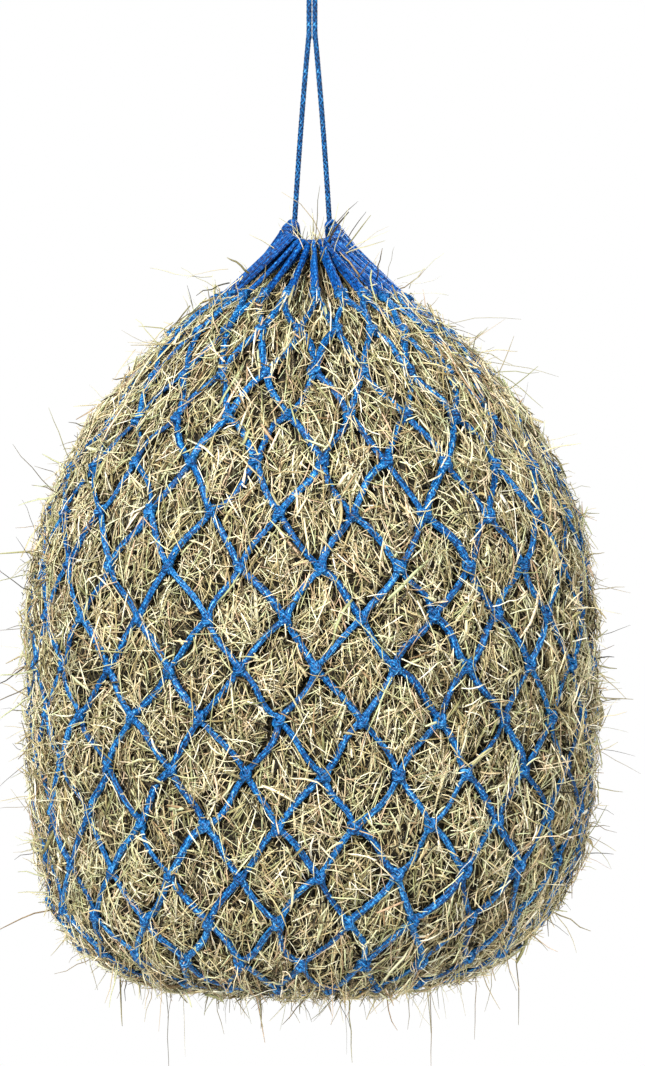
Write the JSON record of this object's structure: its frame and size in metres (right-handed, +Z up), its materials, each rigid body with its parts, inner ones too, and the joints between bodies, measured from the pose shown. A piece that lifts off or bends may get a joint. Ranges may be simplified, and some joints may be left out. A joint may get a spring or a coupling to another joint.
{
  "type": "hay net",
  "caption": "Filled hay net: a bag of knotted blue twine drawn shut on a braided cord, with a loop, knot and two strands to hang it by.",
  "frame": {"origin": "top of the inside of the hanging loop, where the hook bears", "axes": "+Z up along the hanging net, +X to its right, -Y out of its front"},
  "size_m": [0.5036, 0.4814, 0.975],
  "materials": {
    "draw_cord": "satin",
    "netting_twine": "satin",
    "hay": "matte"
  },
  "bodies": {
    "hanging_loop": {"hanging_loop": "draw_cord"},
    "knot": {"top_knot": "draw_cord"},
    "neck": {"neck_cord_left": "draw_cord", "neck_cord_right": "draw_cord"},
    "strands": {"draw_cord_left": "draw_cord", "draw_cord_right": "draw_cord"},
    "bag": {"base_loops": "netting_twine", "base_ring": "draw_cord", "hay_fill": "hay", "knot_row_01": "netting_twine", "knot_row_02": "netting_twine", "knot_row_03": "netting_twine", "knot_row_04": "netting_twine", "knot_row_05": "netting_twine", "knot_row_06": "netting_twine", "knot_row_07": "netting_twine", "knot_row_08": "netting_twine", "knot_row_09": "netting_twine", "knot_row_10": "netting_twine", "knot_row_11": "netting_twine", "knot_row_12": "netting_twine", "knot_row_13": "netting_twine", "knot_row_14": "netting_twine", "knot_row_15": "netting_twine", "knot_row_16": "netting_twine", "knot_row_17": "netting_twine", "knot_row_18": "netting_twine", "mouth_cord": "draw_cord", "mouth_loops": "netting_twine", "net_course_01": "netting_twine", "net_course_02": "netting_twine", "net_course_03": "netting_twine", "net_course_04": "netting_twine", "net_course_05": "netting_twine", "net_course_06": "netting_twine", "net_course_07": "netting_twine", "net_course_08": "netting_twine", "net_course_09": "netting_twine", "net_course_10": "netting_twine", "net_course_11": "netting_twine", "net_course_12": "netting_twine", "net_course_13": "netting_twine", "net_course_14": "netting_twine", "net_course_15": "netting_twine", "net_course_16": "netting_twine", "net_course_17": "netting_twine", "stray_stalks": "hay"}
  },
  "joints": [
    {"name": "net_twist", "type": "hinge", "parent": "hanging_loop", "child": "knot", "pos_m": [0, 0, -0.05], "axis": [0, 0, 1], "range_deg": [-180, 180]},
    {"name": "net_swing_fore_aft", "type": "hinge", "parent": "knot", "child": "neck", "pos_m": [0, 0, -0.0707], "axis": [1, 0, 0], "range_deg": [-40, 40]},
    {"name": "net_swing_side", "type": "hinge", "parent": "neck", "child": "strands", "pos_m": [0, 0, -0.104], "axis": [0, 1, 0], "range_deg": [-30, 30]},
    {"name": "bag_tip", "type": "hinge", "parent": "strands", "child": "bag", "pos_m": [0, 0, -0.263], "axis": [1, 0, 0], "range_deg": [-20, 20]}
  ]
}
